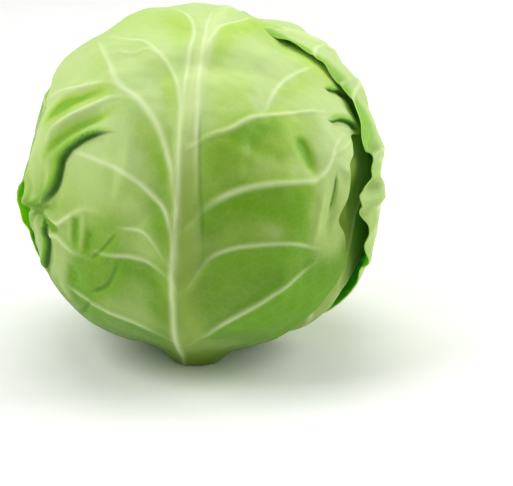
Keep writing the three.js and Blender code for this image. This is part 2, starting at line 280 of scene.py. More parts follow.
# %% Leaf form
class Leaf:
    """The form of one leaf. Angles are in degrees and heights in millimetres."""

    def __init__(self, **numbers):
        self.__dict__.update(numbers)

    def lean_at(self, along):
        return self.lean * rise(along, -70, self.tip)

    def direction(self, along, across):
        turn, rise_angle = math.radians(self.azimuth), np.radians(along)
        side = np.radians(across + self.lean_at(along))
        out = np.cos(side) * np.cos(rise_angle)
        return np.stack([
            out * math.sin(turn) + np.sin(side) * math.cos(turn),
            -out * math.cos(turn) + np.sin(side) * math.sin(turn),
            np.cos(side) * np.sin(rise_angle),
        ], -1)

    def angles(self, d):
        turn = math.radians(self.azimuth)
        out = d[:, 0] * math.sin(turn) - d[:, 1] * math.cos(turn)
        side = d[:, 0] * math.cos(turn) + d[:, 1] * math.sin(turn)
        along = np.degrees(np.arctan2(d[:, 2], out))
        along = np.where(along < -100, along + 360, along)
        return along, np.degrees(np.arcsin(np.clip(side, -1, 1))) - self.lean_at(along)

    def full_width(self, along, side):
        full = np.where(side < 0, self.width[0], self.width[1])
        slow = 2.2 * np.sin(0.105 * along + self.phase + side)
        quick = 1.2 * np.sin(0.23 * along + 2 * self.phase)
        wide = full + (slow + quick) * rise(along, -50, -20)
        return mix(STALK_WIDTH, wide, rise(along, LEAF_BASE - 2, -22))

    def share(self, along, across):
        """0 on the midrib, 1 on the margin."""
        blunt = np.where(across < 0, self.bluntness[0], self.bluntness[1])
        sideways = np.abs(across) / self.full_width(along, np.sign(across))
        ahead = np.maximum(0, along - self.tip + self.taper) / self.taper
        return (sideways**blunt + ahead**blunt) ** (1 / blunt)

    def margin(self, along, side):
        blunt = np.where(side < 0, self.bluntness[0], self.bluntness[1])
        ahead = np.clip((along - self.tip + self.taper) / self.taper, 0, 1)
        return self.full_width(along, side) * (1 - ahead**blunt) ** (1 / blunt)

    def rib_width(self, along):
        return mix(10.5, 3.2, rise(along, -80, 60))

    def rib_height(self, along):
        return self.rib * mix(1, 0.3, rise(along, -78, -18)) * mix(1, 0.35, rise(along, -10, 85))

    def wave(self, along, across):
        broad = np.sin(0.062 * along + self.phase) * np.sin(0.071 * across + 1.7 * self.phase)
        return 0.9 * (1 + broad) * rise(np.abs(across), 4, 26) * rise(along, -60, -30)

    def flare(self, along, across):
        share = self.share(along, across)
        ruffle = 1 + 0.32 * np.sin(0.33 * along + self.phase) * rise(share, 0.8, 1)
        open_out = 1.25 * rise(share, 0.62, 1.12) ** 1.4
        rolled = rise(share, 0.5, 0.84) * (1 - 0.9 * rise(share, 0.86, 1.02))
        out = 0 * along
        for side, middle, spread, height, roll in self.flares:
            turn = mix(open_out, rolled, roll) * bell((along - middle) / spread)
            out = out + np.where(across * side > 0, height * ruffle * turn, 0)
        return out

    def cover(self, along, across):
        share = np.maximum(self.share(along, across), 0.01)
        reach = np.hypot(np.maximum(0, along - self.tip + self.taper), across)
        off = np.maximum(reach * (1 - 1 / share), LEAF_BASE - along)
        return 1 - rise(off, DRAPE_FULL, DRAPE_END)


LEAVES = [
    Leaf(
        name="inner_leaf_back", azimuth=172, lean=6, tip=104, taper=62, bluntness=(2.3, 2.3), width=(60, 58),
        sweep=(34, 30), rib=6.5, drop=0.2, veins=(-52, -26, 0, 27, 56), phase=1.1, flares=[],
    ),
    Leaf(
        name="inner_leaf_right", azimuth=56, lean=-5, tip=108, taper=62, bluntness=(2.3, 2.3), width=(56, 60),
        sweep=(32, 34), rib=6.5, drop=0.3, veins=(-50, -24, 2, 29, 58), phase=2.9, flares=[],
    ),
    Leaf(
        name="inner_leaf_left", azimuth=-72, lean=4, tip=100, taper=62, bluntness=(2.3, 2.3), width=(58, 56),
        sweep=(30, 34), rib=6.5, drop=0.4, veins=(-54, -28, -2, 25, 54), phase=4.4, flares=[],
    ),
    Leaf(
        name="wrapper_leaf_back_left", azimuth=-140, lean=5, tip=98, taper=62, bluntness=(2.3, 2.3),
        width=(61, 57), sweep=(36, 32), rib=9, drop=0.85, veins=(-52, -27, -2, 24, 52), phase=0.4,
        flares=[(1, 4, 13, 6, 0), (-1, -18, 20, 4, 0)],
    ),
    Leaf(
        name="wrapper_leaf_front", azimuth=-8, lean=5, tip=119, taper=62, bluntness=(2.3, 2.3), width=(64, 60),
        sweep=(46, 24), rib=9.5, drop=1, veins=(), phase=5.3, flares=[(1, 12, 26, 2.6, 0)],
    ),
    Leaf(
        name="wrapper_leaf_right", azimuth=118, lean=-8, tip=84, taper=70, bluntness=(0.8, 1.2),
        width=(57, 60), sweep=(30, 36), rib=9, drop=1, veins=(-53, -30, -6, 18, 43), phase=3.6,
        flares=[(-1, 6, 26, 4.5, 1), (-1, -22, 18, 4, 0), (1, 4, 24, 3.5, 0)],
    ),
]
print(len(LEAVES), "leaves:", ", ".join(leaf.name for leaf in LEAVES))

# %% [markdown]
# ## Stacking the layers
# The inside of a leaf lies on everything beneath it. A leaf below counts fully where it lies and fades out
# a little past its margin, where the leaf above sinks down again: that is the step one sees at each edge.

# %% Layers
def inner_radius(n, d):
    """Radius of the inner face of leaf number n in unit directions d."""
    r = heart_radius(d) + LAYER_GAP
    for leaf in LEAVES[:n]:
        along, across = leaf.angles(d)
        rib = leaf.rib_height(along) * bell(across / (RIB_ROOM * leaf.rib_width(along)))
        layer = BLADE + VEIN + LAYER_GAP + rib + leaf.wave(along, across) + leaf.flare(along, across)
        r = r + leaf.cover(along, across) * layer
    along, _ = LEAVES[n].angles(d)
    return r + LEAVES[n].drop * FOOT_DROP * (1 - rise(along, LEAF_BASE, -44))


def ripple(d, length, seed):
    """Soft unevenness, about -1 to 1, over unit directions d: a few plane waves with seeded directions."""
    random = np.random.default_rng(seed)
    total = np.zeros(len(d))
    for _ in range(9):
        way = random.normal(size=3)
        way = way / np.linalg.norm(way) * random.uniform(0.6, 1.4) * 2 * math.pi * 88 / length
        total += np.sin(d @ way + random.uniform(0, 2 * math.pi))
    return total / 3


print("layers stack up to", inner_radius(5, towards(np.array([118.0]), np.array([0.0]))).round(1), "mm")

# %% [markdown]
# ## Veins
# Side veins leave the midrib at a sharp angle, run beside it for a while and then swing out to the margin,
# forking on the way. On the outside of a leaf they stand proud and are nearly white. The front leaf is the
# one everybody sees, so its veins are drawn one by one; the others follow a rule. A vein is a smooth path
# over the leaf, and each point of the leaf is given its distance to the nearest one.

# %% Paths on a leaf
HEAD_RADIUS = 88.0


def smooth_path(points, steps=6):
    """A curve through points given as (along, across)."""
    p = np.array(points, float)
    p = np.vstack([2 * p[0] - p[1], p, 2 * p[-1] - p[-2]])
    t = np.linspace(0, 1, steps, endpoint=False)[:, None]
    parts = []
    for a, b, c, e in zip(p, p[1:], p[2:], p[3:]):
        parts.append(0.5 * (2 * b + (c - a) * t + (2 * a - 5 * b + 4 * c - e) * t**2 + (3 * b - a - 3 * c + e) * t**3))
    return np.vstack(parts + [p[-2][None]])


def path_field(leaf, d, path):
    """For unit directions d: distance to a path in mm, its side (1 is left), and the share of the way along it."""
    line = leaf.direction(path[:, 0], path[:, 1]) * HEAD_RADIUS
    lengths = np.linalg.norm(np.diff(line, axis=0), axis=1)
    start = np.concatenate([[0], np.cumsum(lengths)])
    near = np.full(len(d), 1e9)
    side = np.zeros(len(d))
    share = np.zeros(len(d))
    at = d * HEAD_RADIUS
    for k in range(len(line) - 1):
        way = line[k + 1] - line[k]
        to = at - line[k]
        t = np.clip(to @ way / (way @ way), 0, 1)
        apart = to - t[:, None] * way
        distance = np.einsum("ij,ij->i", apart, apart)
        nearer = distance < near
        near = np.where(nearer, distance, near)
        left = np.einsum("ij,ij->i", np.cross(way, to), d)
        side = np.where(nearer, np.sign(left), side)
        share = np.where(nearer, (start[k] + t * lengths[k]) / start[-1], share)
    return np.sqrt(near), side, share


FRONT_VEINS = [
    (1.7, [(8, 0), (17, -2.4), (23, -4), (34, -9), (44, -17), (51, -25), (65, -32), (84, -40)]),
    (1.1, [(50, -24), (54, -33), (59, -47), (70, -63)]),
    (1.1, [(44, -17), (46, -25), (46, -32), (44, -40), (41, -46), (38, -51)]),
    (1.6, [(-70, -2.4), (-45, -2.4), (-14, -1.7), (-4, -1.3), (8, -1), (19, -1.2), (35, -2.6), (44, -4), (54, -7.5), (62, -13),
           (70, -20), (73, -27), (85, -39)]),
    (1.0, [(63, -14), (66, -18), (65, -23), (67, -28)]),
    (1.5, [(-6, 0), (8, -3.5), (15, -10), (20, -18), (24, -29), (29, -43)]),
    (1.2, [(34, -2.3), (43, -3.1), (54, -4), (63, -4.5), (77, -5.3), (85, -8), (96, -14), (103, -19)]),
    (1.1, [(16, 3.9), (33, 2.5), (49, 0.8), (59, -0.1), (70, -1), (82, -2), (103, -3.6)]),
    (1.5, [(-15, 0), (-11, -2), (-8, -9), (-7, -16), (-8, -23), (-9, -30)]),
    (1.1, [(-8, 0), (-5, -4), (-1, -8), (2, -12), (2, -20)]),
    (1.0, [(7, -26), (6, -34), (1, -41), (-4, -47), (-2, -57)]),
    (1.0, [(-12, -30), (-12, -40), (-10, -46), (-12, -52), (-4, -57)]),
    (1.5, [(28, 1), (33, 7), (36, 13), (42, 20), (49, 33), (58, 45)]),
    (1.2, [(41, 19), (45, 23), (53, 25), (63, 28), (73, 32), (85, 37)]),
    (1.6, [(5, 2), (11, 8), (15, 15), (18, 24), (20, 38), (21, 43), (26, 47), (33, 49), (40, 50), (52, 54)]),
    (1.0, [(34, 49), (40, 53), (49, 57)]),
    (1.2, [(58, 0), (69, 0.7), (75, 1.4), (84, 3.5), (94, 9), (105, 13)]),
    (1.2, [(-14, 3), (-7, 8), (-4, 12.5), (-2.3, 21), (-4, 35), (-11, 46)]),
    (1.6, [(-42, -2), (-34, -12), (-31, -24), (-30, -40)]),
    (1.6, [(-42, 2), (-31, 12), (-23, 26), (-17, 44)]),
]


def ruled_veins(leaf):
    """Side veins by rule: from the midrib they climb and swing out, and each forks once."""
    found = []
    for k, at in enumerate(leaf.veins):
        for side, sweep in ((-1, leaf.sweep[0]), (1, leaf.sweep[1])):
            reach = float(leaf.full_width(np.array(at + 20.0), side)) * (0.9 - 0.03 * k)
            climb = sweep * (1 - 0.5 * float(rise(at, 5, leaf.tip)))
            start = at + 3 * side
            found.append((1.7 - 0.12 * k, [
                (start, 0),
                (start + 0.42 * climb, side * 0.10 * reach),
                (start + 0.72 * climb, side * 0.32 * reach),
                (start + 0.88 * climb, side * 0.62 * reach),
                (start + 1.05 * climb, side * reach),
            ]))
            found.append((1.1, [
                (start + 0.72 * climb, side * 0.32 * reach),
                (start + 0.98 * climb, side * 0.45 * reach),
                (start + 1.30 * climb, side * 0.70 * reach),
            ]))
    return found


def twigs(leaf, veins, seed):
    """Thin veins that branch off the side veins, alternately left and right. The midrib has none."""
    random = np.random.default_rng(seed)
    found = []
    for width, points in veins:
        path = smooth_path(points)
        if np.abs(path[:, 1]).mean() < 6:
            continue
        for k in range(7, len(path) - 3, 9):
            way = path[k + 1] - path[k - 1]
            way = way / np.linalg.norm(way)
            turn = math.radians(random.uniform(38, 62)) * (1 if (k // 9) % 2 else -1)
            length = random.uniform(9, 17)
            bend = turn * 0.55
            here = path[k]
            steps = [here]
            for part in range(4):
                angle = turn - bend * part / 3
                ahead = np.array([
                    way[0] * math.cos(angle) - way[1] * math.sin(angle),
                    way[0] * math.sin(angle) + way[1] * math.cos(angle),
                ])
                here = here + ahead * length / 4
                steps.append(here)
            found.append((max(0.9, width * 0.6), np.array(steps)))
    return found


print(len(FRONT_VEINS), "veins drawn on the front leaf,", len(ruled_veins(LEAVES[0])), "by rule on the next")

# %% [markdown]
# ## Creases and ruffles
# A head that has been handled has a few pleats in its outer leaves: a dark line with a rolled ridge along
# one side. Margins of loose leaves are longer than the leaf they edge, so they can't lie flat and ruffle.
# Both are small moves of the surface, in or out, so they are kept as numbers that a leaf can have. The
# leaf's colour adds painted shade to them: dark green at a pleat's foot, deeper green on its wall, and
# greener hollows and paler ridges where the blade swells or is gathered.

# %% Creases
def pleat(leaf, d, depth, widths, proud, points):
    """A pleat: its height in mm, the strength of its painted shade, and the offset from its foot in widths.

    It is a steep wall with a rolled ridge above it and a hollow below. The ridge lies to the left of the path
    if proud is 1. The width goes from one end's to the other's.
    """
    near, side, share = path_field(leaf, d, smooth_path(points))
    fade = rise(share, -0.02, 0.25) * (1 - rise(share, 0.75, 1.02))
    width = mix(widths[0], widths[1], share) * mix(0.4, 1, fade)
    offset = near * np.where(side == proud, 1, -1) / width
    ridge = rise(offset, -0.3, 0.6) * np.exp(-np.maximum(offset - 0.3, 0) / 1.6)
    hollow = bell((offset + 0.55) / 0.7)
    return fade * depth * (ridge - 0.6 * hollow), min(1, depth) * fade, offset


def gather(leaf, d, place, depth, reach, folds):
    """Ridges that run together at a point, where a leaf has been pinched, and painted shade for the valleys between
    them and the pinched middle.
    """
    middle = leaf.direction(np.array([place[0]]), np.array([place[1]]))[0]
    east = np.cross([0, 0, 1], middle)
    east /= np.linalg.norm(east)
    north = np.cross(middle, east)
    x, y = d @ east * HEAD_RADIUS, d @ north * HEAD_RADIUS
    r = np.hypot(x, y)
    angle = np.arctan2(y, x)
    rays = np.cos(folds * angle + 0.8 * np.sin(2 * angle + 1)) * rise(r, 1, 5)
    near = bell(r / reach)
    return near * (depth * rays - depth * bell(r / 3.5)), near * (0.5 * rise(-rays, 0, 1) + bell(r / 3.5))


def swell(leaf, d, height, width, points):
    """A soft ridge along a path, or a hollow if its height is negative."""
    near, _, share = path_field(leaf, d, smooth_path(points))
    fade = rise(share, -0.1, 0.3) * (1 - rise(share, 0.7, 1.1))
    return height * fade * bell(near / width)


FRONT_PLEATS = [
    (3.6, (1.5, 4.4), -1, [(33, -22), (34, -28), (34, -32), (32, -38), (29, -43), (25, -46), (20, -46.5),
                           (13, -48), (6, -53), (1, -56), (-3, -59)]),
    (3.0, (2.6, 2.8), -1, [(-3, -57), (-9, -53), (-16, -51), (-27, -51), (-42, -53)]),
    (0.25, (2.8, 3.2), 1, [(43, 2.6), (35, 3.5), (25, 4.6), (16, 5.6), (8, 6.7), (-6, 7.5)]),
    (0.6, (1.0, 1.2), 1, [(27, 51.7), (19.5, 51.7), (12, 51.4), (4, 50)]),
    (1.3, (1.6, 2.6), 1, [(77, 43), (80, 46), (86, 49), (90, 53)]),
    (1.8, (1.6, 2.8), 1, [(54, 46), (56, 49), (61, 52), (66, 57), (68, 62)]),
    (0.5, (3.6, 2.6), 1, [(1, -20), (-5, -24), (-10, -28), (-13, -31)]),
    (0.5, (4.0, 3.2), 1, [(-8, -19), (-14, -21), (-21, -24), (-27, -31)]),
    (0.5, (3.4, 3.4), 1, [(-28, -29), (-34, -31), (-42, -34), (-49, -37)]),
]
FRONT_SWELLS = [
    (1.3, 2.6, [(54, -32), (56, -40), (57, -47), (66, -58)]),
    (-1.6, 3.6, [(49, -28), (51, -36), (51, -44), (50, -51), (46, -60)]),
    (1.5, 2.0, [(46, -25), (44, -38), (39, -50), (29, -52)]),
    (-1.5, 2.8, [(41, -24), (40, -34), (36, -44), (30, -51), (22, -54)]),
    (0.9, 2.0, [(-3, -55), (-4, -47), (1, -41), (6, -34), (7, -26)]),
    (1.1, 2.0, [(-5, -56), (-12, -52), (-10, -46), (-12, -40), (-13, -33)]),
    (-1.6, 2.4, [(-3, -56), (-7, -52), (-8, -46)]),
    (0.8, 1.6, [(1, -40), (-9, -39)]),
    (-1.4, 1.9, [(3, -37), (-10, -37)]),
    (1.1, 1.8, [(6, -33), (-11, -34)]),
    (-1.1, 2.0, [(-1, -30), (-10, -32)]),
    (-1.8, 3.8, [(-22, -35), (-25, -38)]),
    (1.6, 4.0, [(-30, -42), (-37, -37)]),
    (0.7, 3.5, [(12, 8), (8, 18), (3, 28), (-3, 35)]),
    (0.6, 3.5, [(32, 8), (30, 15), (26, 24), (24, 29)]),
    (-1.8, 3.6, [(40, 36), (32, 40), (23, 44)]),
    (0.9, 2.2, [(19, 47), (5, 46), (-9, 44)]),
    (-1.0, 2.2, [(19, 51), (6, 51), (-6, 49)]),
]
FRONT_GATHER = ((-1, -57), 1.5, 15, 7)
# Patches of wax at (amount, spread, along, across): partly the leaf's own wax, partly painted light on fields that
# catch the light and painted shade on fields in shade.
FRONT_WAX_AND_LIGHT_PATCHES = [
    (-0.50, 14, -20, -32), (-0.40, 9, 0, -21), (-0.15, 9, 26, 14), (-0.30, 8, 37, 17), (-0.20, 9, 34, 31),
    (-0.80, 13, 7, 35), (-0.20, 9, 13, 10), (-0.15, 12, -7, 8), (-0.40, 14, -30, 30), (1.00, 10, 12, 53),
    (0.50, 6, 1, 30), (0.60, 9, -8, 50), (0.50, 8, -22, -44), (0.70, 6, 44, 54), (0.45, 9, 70, 49), (0.30, 12, 72, 19),
    (-0.35, 5, 51, -49), (0.15, 9, 17, -32), (-0.40, 7, -26, -34), (0.30, 8, 60, 52),
    (-0.30, 9, 44, -44), (0.25, 12, 3, -12), (0.15, 10, -22, -10),
]
print(len(FRONT_PLEATS), "pleats and a gather on the front leaf, and", len(FRONT_WAX_AND_LIGHT_PATCHES), "patches")

# %% [markdown]
# ## Making a leaf
# A leaf starts as a flat grid. Its vertices are laid out over the head, left to right across the leaf and
# bottom to top along it, and get their height from the layers, the rib, the veins and the creases. Solidify
# then gives it thickness towards the head: a fleshy midrib, and a margin less than a millimetre thick.

# %% Leaf maker
def put_attribute(piece, name, values):
    layer = piece.data.attributes.new(name, "FLOAT", "POINT")
    layer.data.foreach_set("value", np.ascontiguousarray(values, dtype=np.float32))


def modify(piece, kind, **settings):
    """Adds a modifier and applies it."""
    modifier = piece.modifiers.new(kind.lower(), kind)
    for key, value in settings.items():
        setattr(modifier, key, value)
    bpy.ops.object.select_all(action="DESELECT")
    piece.select_set(True)
    bpy.context.view_layer.objects.active = piece
    bpy.ops.object.modifier_apply(modifier=modifier.name)


def make_leaf(
    n, rows, columns, veins, pleats=(), swells=(), gathers=(), nudges=(), patches=(), pressed=0.0, ruffle=0.5,
    puffed=0.3, bloom_and_painted_light=0.5, wax_left_shade_right=0.0, green_margin=(-90, -60), seed=1
):
    """One fine leaf on the frame's leaf number n.

    Nudges widen the leaf at (side, along, spread, degrees). A pressed tip lies flush. The blade is puffed up
    under its veins by so many mm. The margin is bare of wax above the first angle of green_margin, and all
    bare above the second.
    """
    leaf = LEAVES[n]
    bpy.ops.object.select_all(action="DESELECT")
    bpy.ops.mesh.primitive_grid_add(x_subdivisions=columns, y_subdivisions=rows, size=2)
    piece = bpy.context.object
    piece.name = piece.data.name = "fine_" + leaf.name
    grid = np.empty(len(piece.data.vertices) * 3)
    piece.data.vertices.foreach_get("co", grid)
    x, y = grid.reshape(-1, 3)[:, 0], (grid.reshape(-1, 3)[:, 1] + 1) / 2

    # rows climb towards the margin as the side veins do
    at = mix(LEAF_BASE, mix(LEAF_BASE, leaf.tip, 0.994), y * (1.22 - 0.22 * y))
    sweep = np.where(x < 0, leaf.sweep[0], leaf.sweep[1])
    climb = sweep * rise(at, LEAF_BASE, -14) * (1 - rise(at, 5, leaf.tip))
    along = at + climb * np.abs(x) ** 0.62
    reach = leaf.margin(along, np.where(x < 0, -1, 1))
    for side, middle, spread, wider in nudges:
        reach = reach + np.where(x * side > 0, wider * bell((along - middle) / spread), 0)
    across = x * reach
    d = leaf.direction(along, across)
    share = leaf.share(along, across)

    # veins: where they lie, how far they stand proud, and the broad swell of the blade under the main ones
    line = np.full(len(d), 9.0)
    vein, crest, lift, above = (np.zeros(len(d)) for _ in range(4))
    paths = [(thick, smooth_path(points), 1.0) for thick, points in veins]
    paths += [(thick, path, 0.2) for thick, path in twigs(leaf, veins, seed)]
    for thick, path, strength in paths:
        near, hand, way = path_field(leaf, d, path)
        half = thick * mix(1, 0.6, way)
        if strength == 1:
            line = np.where(near / half < np.abs(line), hand * near / half, line)
        length = np.linalg.norm(np.diff(path, axis=0), axis=1).sum()
        along_vein = mix(0.1, 1, rise(way * length, 3, 20)) * mix(1, 0.6, way) * (1 - 0.8 * rise(way, 0.85, 1))
        vein = np.maximum(vein, bell(near / (1.5 * np.maximum(half, 1.1))) * strength * along_vein)
        crest = np.maximum(crest, bell(near / np.maximum(half, 1.3)) * strength * half / 1.5)
        if thick >= 1.2 and strength == 1:
            end = rise(way, 0, 0.2) * (1 - rise(way, 0.7, 1))
            lift = np.maximum(lift, bell(near / 7) * end)
            # painted light and shade: the field just above a main vein is marked waxier and paler, the field below it
            # barer and greener, as light and shade on the puffed blade
            above += hand * np.sign(path[-1, 1]) * end * bell((near - 6) / 6)

    # blade between the veins, and creases
    inside = 1 - rise(share, 0.7, 0.95)
    blade = 0.22 * ripple(d, 22, seed) + 0.10 * ripple(d, 9, seed + 1) + puffed * lift * inside
    # the strength and offset of the nearest pleat go to the colour, which paints shade at its foot and on its wall
    fold, fold_line = np.zeros(len(d)), np.full(len(d), 4.0)
    for entry in pleats:
        height, strength, offset = pleat(leaf, d, *entry)
        blade += height
        strength = strength * (1 - rise(np.abs(offset), 2.2, 3.2))
        nearer = np.abs(offset) < np.abs(fold_line)
        fold, fold_line = np.where(nearer, strength, fold), np.where(nearer, offset, fold_line)
    # painted shade: the tilt thins the wax on the right half of the leaf, which turns greener as if shaded, while the
    # left half keeps its wax
    wax_with_painted_light = bloom_and_painted_light + 0.2 * ripple(d, 70, seed + 3) - wax_left_shade_right * np.sin(np.radians(across)) + 0.2 * above
    # painted shade: towards the foot of the leaf the wax thins and the green deepens, as shade low on the head
    wax_with_painted_light -= 0.25 * (1 - rise(along, -55, 0))
    for entry in swells:
        height = swell(leaf, d, *entry)
        blade += height
        # painted light and shade: a swell's ridge is marked waxier and paler, its hollow barer and greener
        wax_with_painted_light += np.where(height > 0, 0.25, 0.5) * height
    # the patches add wax where it lies, and also painted light and painted shade
    for amount, spread, up_to, aside_to in patches:
        middle = leaf.direction(np.array([float(up_to)]), np.array([float(aside_to)]))[0]
        apart = np.degrees(np.arccos(np.clip(d @ middle, -1, 1)))
        wax_with_painted_light += amount * bell(apart / spread)
    for entry in gathers:
        height, hollow = gather(leaf, d, *entry)
        blade += height * (1 - rise(np.abs(x), 0.9, 1))
        # painted shade: the gather's valleys and middle lose wax and turn greener
        wax_with_painted_light -= hollow
    waves = np.sin(0.26 * along + 1.3 * leaf.phase) + 0.6 * np.sin(0.55 * along + leaf.phase)
    tip = rise(along + 18 * rise(x, -0.5, 0.4), leaf.tip - 18, leaf.tip - 6)
    loose = rise(share, 0.86, 1) * rise(along, -50, -20) * (1 - pressed * tip)
    blade += ruffle * (waves + 0.6 * ripple(d, 11, seed + 2)) * loose
    blade = np.where(blade < 0, 1.8 * np.tanh(blade / 1.8), blade)

    rib = bell(1.15 * across / leaf.rib_width(along))
    base = inner_radius(n, d) + leaf.wave(along, across) + leaf.flare(along, across)
    flesh = BLADE * mix(1, 0.6, rise(share, 0.6, 1)) * (1 - 0.5 * pressed * tip) + leaf.rib_height(along) * rib
    radius = base + flesh + VEIN * crest + blade * rise(along, LEAF_BASE, LEAF_BASE + 12)
    radius -= pressed * tip * (VEIN + LAYER_GAP + 1.8)
    place = d * radius[:, None]
    place[:, 2] = np.maximum(place[:, 2] + CENTRE_HEIGHT, 0)
    piece.data.vertices.foreach_set("co", (place * MM).ravel())

    put_attribute(piece, "vein", vein)
    put_attribute(piece, "vein_line", np.clip(line, -4, 4))
    put_attribute(piece, "midrib", rib * (1 - 0.5 * rise(along, 60, leaf.tip)))
    put_attribute(piece, "edge", rise(share, 0.86, 0.98) * rise(along, *green_margin))
    put_attribute(piece, "fold", fold)
    put_attribute(piece, "fold_line", fold_line)
    put_attribute(piece, "height_up", rise(along, LEAF_BASE, 90))
    # the wax attribute also carries painted light and shade: paler where lit, greener where shaded
    put_attribute(piece, "bloom_and_painted_light", wax_with_painted_light)
    corner = np.empty(len(piece.data.loops), dtype=np.int32)
    piece.data.loops.foreach_get("vertex_index", corner)
    arc = np.stack([np.radians(across), np.radians(along)], -1) * HEAD_RADIUS / 100
    piece.data.uv_layers[0].name = "leaf"
    piece.data.uv_layers[0].data.foreach_set("uv", arc[corner].astype(np.float32).ravel())

    group = piece.vertex_groups.new(name="flesh")
    thickest = float(flesh.max())
    for k, weight in enumerate(flesh / thickest):
        group.add([k], float(weight), "REPLACE")
    for finish in (leaf_outside, leaf_inside, leaf_rim):
        piece.data.materials.append(finish)
    modify(
        piece, "SOLIDIFY", thickness=thickest * MM, offset=-1, vertex_group="flesh",
        use_quality_normals=True, material_offset=1, material_offset_rim=2,
    )
    bpy.ops.object.shade_smooth_by_angle(angle=math.radians(60))
    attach(piece, "root")
    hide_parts(leaf.name)
    print(piece.name, len(piece.data.polygons), "faces")
    return piece


print("leaf maker ready")

# %% [markdown]
# ## Leaf finish
# The outside of a cabbage leaf is a matt yellow-green under a film of pale wax. The veins are nearly white,
# and a fine net of lesser veins fills the fields between them. Towards the margin the wax thins out and the
# green turns stronger. The side that faced the head is glossier, and a deeper green. Part of the colour is
# painted light: paler wax towards the top as painted sheen, and a brighter inside for light through the leaf.

# %% Leaf materials
def vein_net(shader, where, scale, warp, line):
    """Lines of a net: 1 on a line and 0 in the fields. The net is bent a little by noise."""
    bend = shader.node("ShaderNodeTexNoise", Vector=where, Scale=scale * 0.6, Detail=2.0)
    shift = shader.node("ShaderNodeVectorMath", {"operation": "MULTIPLY_ADD"}, i0=Value(shader, bend.outputs["Color"]))
    shift.inputs[1].default_value = (warp, warp, warp)
    shader.put(shift.inputs[2], where)
    net = shader.node(
        "ShaderNodeTexVoronoi", {"feature": "DISTANCE_TO_EDGE"}, Vector=Value(shader, shift.outputs[0]), Scale=scale
    )
    return 1.0 - shader.span(Value(shader, net.outputs["Distance"]), 0.0, line)


def leaf_material(name, deep, light, pale_vein, margin, crease_shade, wax, roughness, translucent=0.35, lush=None):
    shader = Shader(name)
    where = shader.coordinates("UV")
    solid = shader.coordinates("Object")
    midrib, edge = shader.attribute("midrib"), shader.attribute("edge")
    off_line = shader.maths("ABSOLUTE", shader.attribute("vein_line"), 0.0)
    vein = shader.attribute("vein") * (1.0 - shader.span(off_line, 0.0, 2.6))
    fold, off_foot = shader.attribute("fold"), shader.attribute("fold_line")
    high, bloom_and_painted_light = shader.attribute("height_up"), shader.attribute("bloom_and_painted_light")

    patches = shader.noise(solid, 26.0, 4.0, 0.55)
    speckle = shader.noise(solid, 420.0, 3.0, 0.6)
    coarse = vein_net(shader, where, 13.0, 0.05, 0.14)
    fine = vein_net(shader, where, 38.0, 0.02, 0.20)

    field = shader.mix(shader.span(patches * 0.5 + high * 0.6, 0.3, 0.9), deep, light)
    wax_with_painted_light = shader.span(bloom_and_painted_light + speckle * 0.12 + patches * 0.3, 0.35, 1.0) * wax
    # painted highlight: the wax turns paler and bluer towards the top of the leaf, standing in for the sheen where the
    # lights hit
    wax_and_top_sheen_colour = shader.mix(shader.span(high, 0.4, 0.85), linear(180, 204, 122), linear(189, 209, 152))
    waxed = shader.mix(wax_with_painted_light, field, wax_and_top_sheen_colour)
    # where the wax attribute is low the leaf is bare and deeper green: partly bare leaf, partly painted shade
    bare = 1.0 - shader.span(bloom_and_painted_light + patches * 0.2, -0.15, 0.45)
    rubbed_and_shaded = shader.mix(bare * 0.8, waxed, lush or deep)
    greener = shader.mix(edge * 0.85, rubbed_and_shaded, margin)
    netted = shader.mix(coarse * 0.03 + fine * 0.03, greener, pale_vein)
    rib_colour = shader.mix(shader.span(high, 0.5, 0.85), linear(134, 162, 52), linear(198, 214, 146))
    ribbed = shader.mix(shader.span(midrib, 0.1, 0.8) * 0.65, netted, rib_colour)
    veined = shader.mix(vein * 0.85, ribbed, pale_vein)
    # painted shade in a pleat: its wall a barer, deeper green, partly wax rubbed off and partly shade, and its foot a
    # dark green where shade falls
    wall_bare_and_shaded = shader.span(off_foot, -0.4, 0.1) * (1.0 - shader.span(off_foot, 0.7, 2.4))
    foot_shade = shader.span(off_foot, -0.6, -0.15) * (1.0 - shader.span(off_foot, -0.05, 0.45))
    with_wall_shade = shader.mix(wall_bare_and_shaded * fold * 0.75, veined, margin)
    with_foot_shade = shader.mix(foot_shade * fold * 0.9, with_wall_shade, crease_shade)

    relief = coarse * 0.06 + fine * 0.10 + speckle * 0.15 + shader.noise(solid, 90.0, 3.0, 0.5) * 0.4 + vein * 0.8
    bump = shader.node("ShaderNodeBump", Strength=0.3, Distance=0.0006, Height=relief)
    return shader.finish(
        Base_Color=with_foot_shade,
        Roughness=roughness + patches * 0.16 - coarse * 0.04,
        Normal=Value(shader, bump.outputs["Normal"]),
        Subsurface_Weight=translucent, Subsurface_Scale=0.0025, Subsurface_Radius=(0.7, 1.0, 0.1),
        Sheen_Weight=0.05, Sheen_Roughness=0.4, Specular_IOR_Level=0.15,
    )


PALE_VEIN = linear(212, 226, 172)
# the fifth colour of each finish is the painted shade at the foot of a pleat
leaf_outside = leaf_material(
    "leaf_outside", linear(94, 142, 16), linear(168, 202, 80), PALE_VEIN,
    linear(112, 172, 14), linear(24, 84, 0), 0.62, 0.38, lush=linear(104, 160, 4),
)
# The inside of a leaf is a deeper green, and its finish is made brighter still: painted light, for the light that
# shines through the thin leaf.
leaf_inside = leaf_material(
    "leaf_inside", linear(138, 208, 2), linear(156, 222, 10), linear(176, 222, 70),
    linear(160, 226, 8), linear(66, 116, 6), 0.1, 0.32, 0.75,
)
leaf_rim = leaf_material(
    "leaf_rim", linear(172, 212, 96), linear(188, 222, 116), PALE_VEIN,
    linear(176, 214, 98), linear(120, 160, 50), 0.2, 0.40,
)
print("finishes:", leaf_outside.name, leaf_inside.name, leaf_rim.name)

